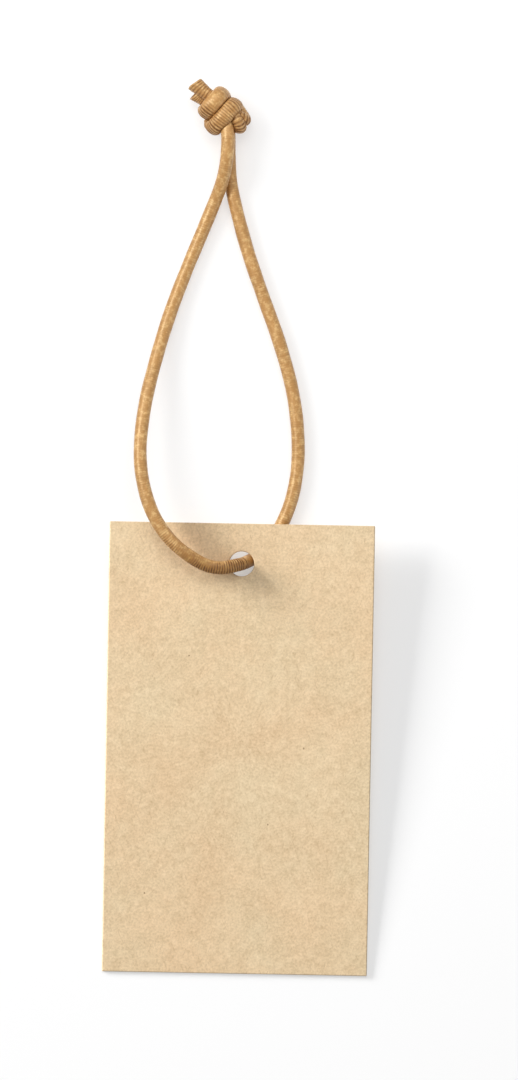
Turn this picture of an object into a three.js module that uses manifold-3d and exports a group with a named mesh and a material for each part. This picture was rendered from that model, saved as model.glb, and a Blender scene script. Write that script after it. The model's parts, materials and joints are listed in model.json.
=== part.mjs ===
// A plain kraft hang tag on a knotted elastic cord, lying face up on a flat surface.
// Millimetres, +Z up. +Y runs up the card to its hole and on to the knot, +X to the card's right.
// The origin is on the surface, under the middle of the card.
import * as THREE from 'three';
import { mergeVertices } from 'three/addons/utils/BufferGeometryUtils.js';
import Module from 'manifold-3d';

// Card
const CARD_WIDTH = 50;
const CARD_LENGTH = 85;
const CARD_THICKNESS = 0.5;
const HOLE_DIAMETER = 4.7;
const HOLE_TO_TOP_EDGE = 7.6;
const HOLE_SEGMENTS = 40;
// How far a cutter reaches past what it cuts
const OVERCUT = 1;

// Cord
const CORD_DIAMETER = 2.5;
const COVER_WALL = 0.3;
const CORE_CLEARANCE = 0.3;
const CORD_SIDES = 8;
const SURFACE_GAP = 0.05;
const JOIN_GAP = 0.3;

// How far the bent cord holds the card's top edge above the strand that runs under it
const CARD_ABOVE_STRAND = 1.1;

// Knot, with its middle across and up from the hole's centre and above the lying cord's middle
const KNOT_MIDDLE = [-5.0, 85.2, 2.15];
const KNOT_AXIS_DEGREES = 140;
const KNOT_CORE_HALF_LENGTH = 3.9;
const KNOT_CORE_HALF_WIDTH = 2.9;
const KNOT_CORE_HALF_DEPTH = 2.3;
const KNOT_CORE_SIDES = 16;
const KNOT_CORE_RINGS = 12;
// The pull of the knot flattens the cord where it wraps round
const WRAP_WIDTH = 3.3;
const WRAP_THICKNESS = 2.3;
const STUB_LENGTH = 1.2;
const CORE_END_LENGTH = 2.4;

const LOOP_RINGS_PER_SPAN = 2;
const KNOT_RINGS_PER_SPAN = 3;

const KRAFT_BOARD = { color: 0xe5c9a0, roughness: 0.9, metalness: 0 };
const ELASTIC_COVER = { color: 0xc8935a, roughness: 0.6, metalness: 0 };
const RUBBER_CORE = { color: 0xd9c7a4, roughness: 0.8, metalness: 0 };

const cordRadius = CORD_DIAMETER / 2;
const coverBoreRadius = cordRadius - COVER_WALL;
const coreRadius = coverBoreRadius - CORE_CLEARANCE;
const restHeight = cordRadius + SURFACE_GAP;

// The card leans from its bottom edge, which is on the surface, up to the strand under its top edge.
const cardLift = CORD_DIAMETER + CARD_ABOVE_STRAND;
const cardPitch = Math.asin(cardLift / CARD_LENGTH);
const cardReach = CARD_LENGTH * Math.cos(cardPitch) - CARD_THICKNESS * Math.sin(cardPitch);
const bottomEdgeY = CARD_THICKNESS * Math.sin(cardPitch) - cardReach / 2;
const holeAlongCard = CARD_LENGTH - HOLE_TO_TOP_EDGE;
const holeY = bottomEdgeY + holeAlongCard * Math.cos(cardPitch) - (CARD_THICKNESS / 2) * Math.sin(cardPitch);

// The loop's route. Each point is across, up and above: across and up from the hole's centre,
// and the height of the cord's middle above the height at which it lies on the surface.
const LOOP_ROUTE = [
  // from the knot down the front strand
  [-4.1, 80.3, 3.75],
  [-4.1, 78.6, 3.65],
  [-4.25, 76.2, 3.35],
  [-4.6, 73.8, 2.8],
  [-5.15, 71.5, 2.0],
  [-6.1, 68.8, 0.8],
  [-8.6, 62.4, 0.05],
  [-11.4, 55.3, 0.05],
  [-14.4, 46.9, 0.4],
  [-17.0, 37.7, 1.6],
  [-18.8, 29.3, 3.5],
  [-19.5, 20.8, 4.95],
  [-18.8, 14.8, 5.4],
  [-16.9, 9.2, 5.6],
  [-13.7, 4.5, 5.6],
  [-10.0, 1.4, 5.4],
  [-6.6, -0.4, 5.0],
  [-4.2, -0.8, 4.7],
  [-2.5, -0.62, 4.2],
  [-1.15, -0.3, 3.4],
  // through the hole
  [0, 0, 2.25],
  [1.05, 0.43, 1.13],
  [2.25, 1.1, 0.38],
  [3.6, 2.1, 0.05],
  // up the back strand, under the card and on to the knot
  [5.4, 4.1, 0],
  [7.6, 8.0, 0],
  [9.3, 12.8, 0],
  [10.2, 19.0, 0],
  [10.0, 26.0, 0],
  [8.8, 33.4, 0],
  [6.2, 42.2, 0],
  [3.2, 50.2, 0],
  [0.3, 58.2, 0],
  [-1.75, 65.0, 0],
  [-3.3, 71.4, 0],
  [-3.75, 75.6, 0.15],
  [-3.85, 78.4, 0.6],
  [-3.9, 80.3, 0.95],
];

// The knot's two strands, from the loop to the cut ends. Each point is along, across and out:
// along the knot's axis towards the tails, across it the way its wraps run, and out from its middle
// away from the surface. A list is cut into runs so that no run passes through itself.
const FRONT_STRAND = {
  rise: [[-1.6, -1.2, 0.8], [0.5, -0.3, 0.1], [2.6, 0.0, -0.4], [3.2, -0.4, -1.3], [2.8, -1.6, -1.6]],
  wrap: [[3.2, -0.4, -1.4], [2.8, -1.6, -1.6], [2.4, -2.45, 0], [2.38, -1.7, 1.5], [2.38, 0, 2.1],
    [2.38, 1.6, 1.6], [2.3, 2.35, 0], [1.4, 1.7, -1.6], [-0.4, 0.1, -2.1], [-2.0, -0.5, -2.15]],
  tail: [[-0.4, 0.1, -2.1], [-2.0, -0.5, -2.15], [-3.45, -0.5, -1.8], [-4.25, -0.25, -0.7], [-4.1, 0, 0.45],
    [-3.1, 0.35, 1.05], [-1.8, 0.7, 0.6], [1.0, 0.8, 0.1], [3.0, 0.5, 0.4], [4.6, 0.4, 0.5], [7.6, 0.3, 0.6]],
};
const BACK_STRAND = {
  rise: [[-1.6, -0.7, -0.7], [0.6, 0.4, -0.8], [1.9, 0.2, -1.7], [1.0, -1.6, -1.9]],
  wrap: [[1.9, 0.2, -1.8], [1.0, -1.8, -1.9], [-0.45, -3.7, -0.3], [-0.72, -2.9, 1.4], [-0.72, -0.6, 2.15],
    [-0.72, 1.6, 1.7], [-0.8, 2.4, 0.1], [-1.45, 2.2, -1.3], [-2.6, 1.9, -1.9]],
  tail: [[-1.45, 2.2, -1.3], [-2.6, 1.9, -1.9], [-3.7, 1.6, -1.45], [-4.0, 1.35, -0.5], [-3.4, 1.2, 0.2],
    [-2.2, 0.9, 0.15], [0.2, -0.2, -0.7], [1.5, -0.4, -0.8], [3.4, -0.6, -0.9], [4.6, -0.7, -1.0],
    [6.3, -0.9, -1.0]],
};

// A smooth route whose rings are shared out evenly among its points, so that they lie closer
// together where the points do.
class Route extends THREE.CatmullRomCurve3 {
  constructor(points) {
    super(points, false, 'centripetal');
  }

  getUtoTmapping(share) {
    return share;
  }
}

const wasm = await Module();
wasm.setup();

function solid(geometry) {
  const bare = geometry.clone();
  bare.deleteAttribute('normal');
  bare.deleteAttribute('uv');
  const merged = mergeVertices(bare, 1e-5);
  return new wasm.Manifold(
    new wasm.Mesh({
      numProp: 3,
      vertProperties: new Float32Array(merged.attributes.position.array),
      triVerts: new Uint32Array(merged.index.array),
    })
  );
}

function geometryOf(manifold) {
  const mesh = manifold.getMesh();
  const geometry = new THREE.BufferGeometry();
  geometry.setAttribute('position', new THREE.BufferAttribute(mesh.vertProperties, 3));
  geometry.setIndex(new THREE.BufferAttribute(mesh.triVerts, 1));
  geometry.computeVertexNormals();
  return geometry;
}

function named(name, geometry, finish) {
  const mesh = new THREE.Mesh(geometry, new THREE.MeshStandardMaterial(finish));
  mesh.name = name;
  return mesh;
}

function ringOutline(radius) {
  const corners = [];
  for (let i = 0; i < CORD_SIDES; i++) {
    const angle = ((i + 0.5) * 2 * Math.PI) / CORD_SIDES;
    corners.push(new THREE.Vector2(radius * Math.cos(angle), radius * Math.sin(angle)));
  }
  return corners;
}

function tube(route, steps, radius, boreRadius = 0) {
  const section = new THREE.Shape(ringOutline(radius));
  if (boreRadius > 0) {
    section.holes.push(new THREE.Path(ringOutline(boreRadius).reverse()));
  }
  return new THREE.ExtrudeGeometry(section, { extrudePath: route, steps });
}

function loopPoint([across, up, above]) {
  return new THREE.Vector3(across, holeY + up, restHeight + above);
}

function makeCard() {
  const board = solid(new THREE.BoxGeometry(CARD_WIDTH, CARD_LENGTH, CARD_THICKNESS));
  const punch = new THREE.CylinderGeometry(
    HOLE_DIAMETER / 2,
    HOLE_DIAMETER / 2,
    CARD_THICKNESS + 2 * OVERCUT,
    HOLE_SEGMENTS
  );
  punch.rotateX(Math.PI / 2);
  punch.translate(0, holeAlongCard - CARD_LENGTH / 2, 0);
  const card = named('tag_card', geometryOf(board.subtract(solid(punch))), KRAFT_BOARD);
  card.position.set(0, CARD_LENGTH / 2, CARD_THICKNESS / 2);
  const leaning = new THREE.Group();
  leaning.position.y = bottomEdgeY;
  leaning.rotation.x = cardPitch;
  leaning.add(card);
  return leaning;
}

const loopRoute = new Route(LOOP_ROUTE.map(loopPoint));

function makeLoop() {
  const steps = (LOOP_ROUTE.length - 1) * LOOP_RINGS_PER_SPAN;
  return [
    named('cord_cover_loop', tube(loopRoute, steps, cordRadius, coverBoreRadius), ELASTIC_COVER),
    named('cord_core_loop', tube(loopRoute, steps, coreRadius), RUBBER_CORE),
  ];
}

const knotMiddle = loopPoint(KNOT_MIDDLE);
const knotTurn = THREE.MathUtils.degToRad(KNOT_AXIS_DEGREES);

// The knot is made about its own middle, along +X, and is then turned about +Z into place.
function placedKnot(mesh) {
  const place = new THREE.Group();
  place.position.copy(knotMiddle);
  place.rotation.z = knotTurn;
  place.add(mesh);
  return place;
}

function knotPoint([along, across, out]) {
  return new THREE.Vector3(along, -across, out);
}

function intoKnot(point) {
  return point.sub(knotMiddle).applyAxisAngle(new THREE.Vector3(0, 0, 1), -knotTurn);
}

// The strand's first two points carry on from the loop's end, with a small gap to its face.
function stubPoints(share, direction) {
  const outward = loopRoute.getTangent(share).multiplyScalar(direction);
  return [JOIN_GAP, JOIN_GAP + STUB_LENGTH].map((reach) =>
    intoKnot(loopRoute.getPoint(share).addScaledVector(outward, reach))
  );
}

function knotTube(points, radius) {
  return tube(new Route(points), (points.length - 1) * KNOT_RINGS_PER_SPAN, radius);
}

// A wrap is drawn round and too far from the knot's axis, then pressed towards it, which flattens it.
function wrapTube(points) {
  const press = WRAP_THICKNESS / WRAP_WIDTH;
  const spread = points.map((point) => new THREE.Vector3(point.x, point.y / press, point.z / press));
  return knotTube(spread, WRAP_WIDTH / 2).scale(1, press, press);
}

function strandRuns(strand, stub) {
  return [
    knotTube([...stub, ...strand.rise.map(knotPoint)], cordRadius),
    wrapTube(strand.wrap.map(knotPoint)),
    knotTube(strand.tail.map(knotPoint), cordRadius),
  ];
}

// The end of the rubber core in a tail, and the bore in the cover that it lies in.
function tailEnd(strand) {
  const tip = knotPoint(strand.tail.at(-1));
  const before = knotPoint(strand.tail.at(-2));
  const inward = before.clone().sub(tip).normalize();
  const core = new Route([tip, tip.clone().addScaledVector(inward, CORE_END_LENGTH)]);
  const bore = new Route([
    tip.clone().addScaledVector(inward, -OVERCUT),
    tip.clone().addScaledVector(inward, CORE_END_LENGTH + CORE_CLEARANCE),
  ]);
  return { core: tube(core, 1, coreRadius), bore: solid(tube(bore, 1, coverBoreRadius)) };
}

function makeKnot() {
  const middle = new THREE.SphereGeometry(1, KNOT_CORE_SIDES, KNOT_CORE_RINGS);
  middle.scale(KNOT_CORE_HALF_LENGTH, KNOT_CORE_HALF_WIDTH, KNOT_CORE_HALF_DEPTH);
  let knot = solid(middle);
  for (const run of [
    ...strandRuns(FRONT_STRAND, stubPoints(0, -1)),
    ...strandRuns(BACK_STRAND, stubPoints(1, 1)),
  ]) {
    knot = knot.add(solid(run));
  }
  const frontEnd = tailEnd(FRONT_STRAND);
  const backEnd = tailEnd(BACK_STRAND);
  knot = knot.subtract(frontEnd.bore).subtract(backEnd.bore);
  return [
    named('cord_knot', geometryOf(knot), ELASTIC_COVER),
    named('cord_core_front_tail', frontEnd.core, RUBBER_CORE),
    named('cord_core_back_tail', backEnd.core, RUBBER_CORE),
  ].map(placedKnot);
}

const tag = new THREE.Group();
tag.add(makeCard(), ...makeLoop(), ...makeKnot());

export default tag;
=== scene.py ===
"""Looks of a plain kraft hang tag on a loop of elastic cord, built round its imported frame.

Metres, +Z up, lying face up. +Y runs up the card to its hole and on to the knot.
"""

import json
import logging
import math
from dataclasses import dataclass, field
from enum import Enum
from typing import Callable, Iterable, Optional, Union

import bmesh
import bpy
import numpy as np
from mathutils import Matrix, Vector


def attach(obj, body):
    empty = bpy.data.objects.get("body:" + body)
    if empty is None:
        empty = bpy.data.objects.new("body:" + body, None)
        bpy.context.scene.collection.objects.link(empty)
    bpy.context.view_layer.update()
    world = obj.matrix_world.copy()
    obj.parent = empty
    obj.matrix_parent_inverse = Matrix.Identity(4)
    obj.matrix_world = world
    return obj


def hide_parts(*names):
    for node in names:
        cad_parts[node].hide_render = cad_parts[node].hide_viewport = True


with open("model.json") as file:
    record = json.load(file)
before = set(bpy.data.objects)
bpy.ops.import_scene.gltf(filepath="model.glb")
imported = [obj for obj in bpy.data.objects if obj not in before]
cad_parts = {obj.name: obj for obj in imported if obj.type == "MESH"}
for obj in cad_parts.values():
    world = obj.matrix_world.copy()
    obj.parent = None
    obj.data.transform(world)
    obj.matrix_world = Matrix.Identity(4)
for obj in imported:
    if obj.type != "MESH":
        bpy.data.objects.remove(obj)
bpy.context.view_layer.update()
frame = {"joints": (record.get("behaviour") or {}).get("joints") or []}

LOG = logging.getLogger("hang_tag")
MM = 0.001
# The cord's own map and attribute, which its material reads
YARN_MAP = "yarn"
OPENING = "opening"


class Body(Enum):
    """The bodies that pieces move with."""

    CORD = "cord"
    CARD = "card"


class Slot(Enum):
    """The record's material slots."""

    BOARD = "kraft_board"
    COVER = "elastic_cover"
    RUBBER = "rubber_core"


class Cut(Enum):
    """Which end of a stretch of cord is cut."""

    NONE = "none"
    FIRST = "first"
    LAST = "last"


class Number:
    """A shader's number socket, on which arithmetic adds Math nodes."""

    def __init__(self, shader: "Shader", socket: bpy.types.NodeSocket) -> None:
        """Keeps the shader and the socket.

        Args:
            shader: The shader that the socket belongs to.
            socket: The output socket that holds the number.
        """
        self.shader = shader
        self.socket = socket

    def __add__(self, other: Union["Number", float]) -> "Number":
        """Adds a number."""
        return self.shader.maths("ADD", self, other)

    __radd__ = __add__

    def __sub__(self, other: Union["Number", float]) -> "Number":
        """Takes a number away."""
        return self.shader.maths("SUBTRACT", self, other)

    def __rsub__(self, other: float) -> "Number":
        """Takes this number away from another."""
        return self.shader.maths("SUBTRACT", other, self)

    def __mul__(self, other: Union["Number", float]) -> "Number":
        """Multiplies by a number."""
        return self.shader.maths("MULTIPLY", self, other)

    __rmul__ = __mul__

    def __pow__(self, other: float) -> "Number":
        """Raises to a power."""
        return self.shader.maths("POWER", self, other)

    def __rpow__(self, other: float) -> "Number":
        """Raises another number to this one."""
        return self.shader.maths("POWER", other, self)


Input = Union[Number, bpy.types.NodeSocket, float, tuple, None]


class Shader:
    """The node tree of one material, or of the world."""

    def __init__(self, name: str, owner: Optional[bpy.types.World] = None) -> None:
        """Empties the tree of a new material, or of the world given.

        Args:
            name: The new material's name.
            owner: The world, where the tree is the world's.
        """
        self.owner = owner or bpy.data.materials.new(name)
        self.owner.use_nodes = True
        self.tree = self.owner.node_tree
        self.tree.nodes.clear()

    def node(
        self, kind: str, settings: Optional[dict] = None, inputs: Optional[dict] = None
    ) -> bpy.types.Node:
        """Adds a node.

        Args:
            kind: The node's type, without the ShaderNode in front.
            settings: Its settings by name.
            inputs: Values or links of its sockets, by name or number.

        Returns:
            The new node.
        """
        made = self.tree.nodes.new("ShaderNode" + kind)
        for key, value in (settings or {}).items():
            setattr(made, key, value)
        for key, value in (inputs or {}).items():
            self.feed(made.inputs[key], value)
        return made

    def feed(self, socket: bpy.types.NodeSocket, value: Input) -> None:
        """Links a socket to a source, or gives it a fixed value.

        Args:
            socket: The input socket.
            value: The source or the value. None leaves the socket as it is.
        """
        if isinstance(value, Number):
            self.tree.links.new(value.socket, socket)
        elif isinstance(value, bpy.types.NodeSocket):
            self.tree.links.new(value, socket)
        elif isinstance(value, tuple) and len(value) == 3 and len(socket.default_value) == 4:
            socket.default_value = (*value, 1.0)
        elif value is not None:
            socket.default_value = value

    def number(
        self,
        kind: str,
        output: Union[str, int],
        settings: Optional[dict] = None,
        inputs: Optional[dict] = None,
    ) -> Number:
        """Adds a node and takes a number from it.

        Args:
            kind: The node's type, without the ShaderNode in front.
            output: The output that gives the number, by name or number.
            settings: The node's settings by name.
            inputs: Values or links of its sockets, by name or number.

        Returns:
            The number.
        """
        return Number(self, self.node(kind, settings, inputs).outputs[output])

    def maths(self, operation: str, *values: Union[Number, float]) -> Number:
        """Works out a number with a Math node."""
        return self.number("Math", 0, {"operation": operation}, dict(enumerate(values)))

    def between(self, value: Number, low: float, high: float) -> Number:
        """Gives 0 where a value is low, 1 where it is high, and a smooth step between.

        Args:
            value: The value.
            low: Where the step starts.
            high: Where it ends.

        Returns:
            The step.
        """
        inputs = {"Value": value, "From Min": low, "From Max": high}
        return self.number("MapRange", "Result", {"interpolation_type": "SMOOTHSTEP"}, inputs)

    def noise(
        self, place: bpy.types.NodeSocket, scale: float, detail: float = 2.0, roughness: float = 0.5
    ) -> Number:
        """Adds a noise texture.

        Args:
            place: The coordinates that it follows.
            scale: How fine it is on them.
            detail: How many finer noises are added to it.
            roughness: How strong the finer ones are.

        Returns:
            Its value, about 0.5 on average.
        """
        inputs = {"Vector": place, "Scale": scale, "Detail": detail, "Roughness": roughness}
        return self.number("TexNoise", "Fac", {}, inputs)

    def varied(self, middle: float, parts: Iterable[tuple[Number, float]]) -> Number:
        """Sways a number by some noises.

        Args:
            middle: The number's value where every noise is at its average.
            parts: Each noise, and how far it sways the number.

        Returns:
            The swayed number.
        """
        total = middle
        for noise, share in parts:
            total = total + (noise - 0.5) * share
        return total

    def spread(self, place: bpy.types.NodeSocket, scale: tuple, turn: float = 0.0) -> bpy.types.NodeSocket:
        """Turns a pattern's coordinates about Z, then scales them along each axis.

        Args:
            place: The coordinates.
            scale: The scale along each axis.
            turn: The turn, in radians.

        Returns:
            The new coordinates.
        """
        turned = self.node("Mapping", {}, {"Vector": place, "Rotation": (0.0, 0.0, turn)})
        scaled = self.node("Mapping", {}, {"Vector": turned.outputs[0], "Scale": scale})
        return scaled.outputs[0]

    def mix(self, factor: Input, first: Input, second: Input) -> bpy.types.NodeSocket:
        """Mixes two colours and gives the result."""
        made = self.node("Mix", {"data_type": "RGBA"}, {0: factor, 6: first, 7: second})
        return made.outputs[2]

    def brightened(
        self, colour: Input, share: Number, weights: tuple = (1.0, 1.0, 1.0)
    ) -> bpy.types.NodeSocket:
        """Multiplies a colour by a number.

        Args:
            colour: The colour.
            share: The number, about 1.
            weights: How much of the number's difference from 1 red, green and blue take.

        Returns:
            The brightened colour.
        """
        levels = [1 + (share - 1) * weight for weight in weights]
        grey = self.node("CombineXYZ", {}, dict(enumerate(levels))).outputs[0]
        settings = {"data_type": "RGBA", "blend_type": "MULTIPLY"}
        return self.node("Mix", settings, {0: 1.0, 6: colour, 7: grey}).outputs[2]

    def bump(self, height: Number, depth: float, strength: float) -> bpy.types.NodeSocket:
        """Adds a bump from a height and gives the normal."""
        made = self.node("Bump", {}, {"Strength": strength, "Distance": depth, "Height": height})
        return made.outputs[0]

    def surface(self, inputs: dict) -> bpy.types.Material:
        """Ends the tree in a Principled surface.

        Args:
            inputs: Values or links of its sockets, by name.

        Returns:
            The material.
        """
        made = self.node("BsdfPrincipled", {}, inputs)
        self.node("OutputMaterial", {}, {"Surface": made.outputs[0]})
        return self.owner

    def looked_at(self) -> Number:
        """Tells where a thing is seen from where it only lights others.

        Returns:
            1 where it is seen straight on, in gloss or through glass, and 0 elsewhere.
        """
        ray = self.node("LightPath").outputs
        kinds = ("Is Camera Ray", "Is Glossy Ray", "Is Transmission Ray")
        straight, gloss, through = (Number(self, ray[name]) for name in kinds)
        return self.maths("MAXIMUM", self.maths("MAXIMUM", straight, gloss), through)


PALE_FIBRE = (0.960, 0.750, 0.500)
DARK_FIBRE = (0.520, 0.345, 0.185)


@dataclass(frozen=True)
class Fibres:
    """One layer of the board's short fibres, all lying about the same way."""

    turn: float
    colour: tuple
    strength: float
    fineness: float


@dataclass(frozen=True)
class KraftBoard:
    """Unbleached kraft board: a matt tan with a dense fine mottle, short fibres and a few dark specks.

    A pattern's scale is about how many of its spots lie side by side in a metre.
    """

    pinkish: tuple = (0.866, 0.634, 0.388)
    yellowish: tuple = (0.848, 0.664, 0.420)
    hue_scales: tuple = (55.0, 400.0)
    hue_shares: tuple = (2.8, 0.6)
    cloud_scale: float = 90.0
    pulp_scale: float = 620.0
    grain_scale: float = 2400.0
    # How far the clouds, the pulp and the grain sway the tone
    tone_shares: tuple = (0.19, 0.44, 0.62)
    # Lighter spots are paler in hue too, so red is lifted less than blue
    lift: tuple = (0.85, 0.97, 1.20)
    fibres: tuple = (
        Fibres(turn=0.5, colour=PALE_FIBRE, strength=0.40, fineness=2.0),
        Fibres(turn=1.9, colour=DARK_FIBRE, strength=0.36, fineness=2.0),
        Fibres(turn=2.7, colour=PALE_FIBRE, strength=0.30, fineness=1.2),
        Fibres(turn=1.2, colour=DARK_FIBRE, strength=0.26, fineness=1.2),
    )
    # Along the fibres, across them and into the board
    fibre_scale: tuple = (330.0, 2300.0, 900.0)
    fibre_rise: tuple = (0.60, 0.76)
    speck: tuple = (0.30, 0.18, 0.09)
    # Across and up from the tag's origin, in millimetres
    speck_places: tuple = ((12.31, 0.28), (5.82, -14.20), (-9.6, 17.4), (-17.2, -27.5))
    speck_radius: float = 0.16 * MM
    # Where a speck fades and how ragged it is, as shares of its radius
    speck_rim: tuple = (0.6, 1.3)
    speck_ragged: float = 1.5
    speck_scale: float = 4200.0
    speck_share: float = 0.8
    # The cut edge, which faces upwards by less than these shares, shows the plies and is darker
    edge_rise: tuple = (0.4, 0.95)
    ply_scale: tuple = (700.0, 700.0, 9000.0)
    ply_dark: float = 0.55
    ply_share: float = 0.34
    roughness: float = 0.88
    # How high the pulp, the grain and the clouds stand, as shares of the bump's depth
    rises: tuple = (0.6, 0.5, 0.3)
    bump_depth: float = 0.03 * MM
    bump_strength: float = 0.6

    def material(self) -> bpy.types.Material:
        """Builds the board's material.

        Returns:
            The material.
        """
        shader = Shader("kraft_board")
        coordinates = shader.node("TexCoord").outputs
        place = coordinates["Object"]
        cloud = shader.noise(place, self.cloud_scale, detail=3.0)
        pulp = shader.noise(place, self.pulp_scale, detail=4.0, roughness=0.62)
        grain = shader.noise(place, self.grain_scale, roughness=0.6)
        wide, fine = self.hue_scales
        hues = (shader.noise(place, wide), shader.noise(place, fine, detail=1.0))
        hue = shader.varied(0.5, zip(hues, self.hue_shares))
        tone = shader.varied(1.0, zip((cloud, pulp, grain), self.tone_shares))
        colour = shader.mix(hue, self.pinkish, self.yellowish)
        colour = shader.brightened(colour, tone, self.lift)
        for layer in self.fibres:
            colour = shader.mix(self._shown(shader, place, layer), colour, layer.colour)
        colour = shader.mix(self._specks(shader, place) * self.speck_share, colour, self.speck)
        facing = shader.number("SeparateXYZ", 2, {}, {0: coordinates["Normal"]})
        side = 1 - shader.between(shader.maths("ABSOLUTE", facing), *self.edge_rise)
        ply = shader.noise(shader.spread(place, self.ply_scale), 1.0)
        edge = shader.brightened(colour, self.ply_dark + ply * self.ply_share)
        pulp_rise, grain_rise, cloud_rise = self.rises
        height = pulp * pulp_rise + grain * grain_rise + cloud * cloud_rise
        return shader.surface({
            "Base Color": shader.mix(side, colour, edge),
            "Roughness": self.roughness,
            "Specular IOR Level": 0.25,
            "Normal": shader.bump(height, self.bump_depth, self.bump_strength),
        })

    def _shown(self, shader: Shader, place: bpy.types.NodeSocket, layer: Fibres) -> Number:
        """Gives how much of a layer of fibres shows.

        Args:
            shader: The board's shader.
            place: The place on the board.
            layer: The layer of fibres.

        Returns:
            The layer's strength on a fibre, and 0 beside it.
        """
        along, across, into = self.fibre_scale
        scale = (along * layer.fineness, across * layer.fineness, into)
        strand = shader.noise(shader.spread(place, scale, layer.turn), 1.0)
        return shader.between(strand, *self.fibre_rise) * layer.strength

    def _specks(self, shader: Shader, place: bpy.types.NodeSocket) -> Number:
        """Finds the board's few dark specks.

        Args:
            shader: The board's shader.
            place: The place on the board.

        Returns:
            1 on a speck and 0 beside it.
        """
        flattened = {0: place, 1: (1.0, 1.0, 0.0)}
        flat = shader.node("VectorMath", {"operation": "MULTIPLY"}, flattened).outputs[0]
        ragged = (shader.noise(place, self.speck_scale) - 0.5) * (self.speck_radius * self.speck_ragged)
        low, high = (self.speck_radius * share for share in self.speck_rim)
        shown: Union[Number, float] = 0.0
        for across, up in self.speck_places:
            ends = {0: flat, 1: (across * MM, up * MM, 0.0)}
            away = shader.number("VectorMath", "Value", {"operation": "DISTANCE"}, ends) + ragged
            shown = shader.maths("MAXIMUM", shown, 1 - shader.between(away, low, high))
        return shown


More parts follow.
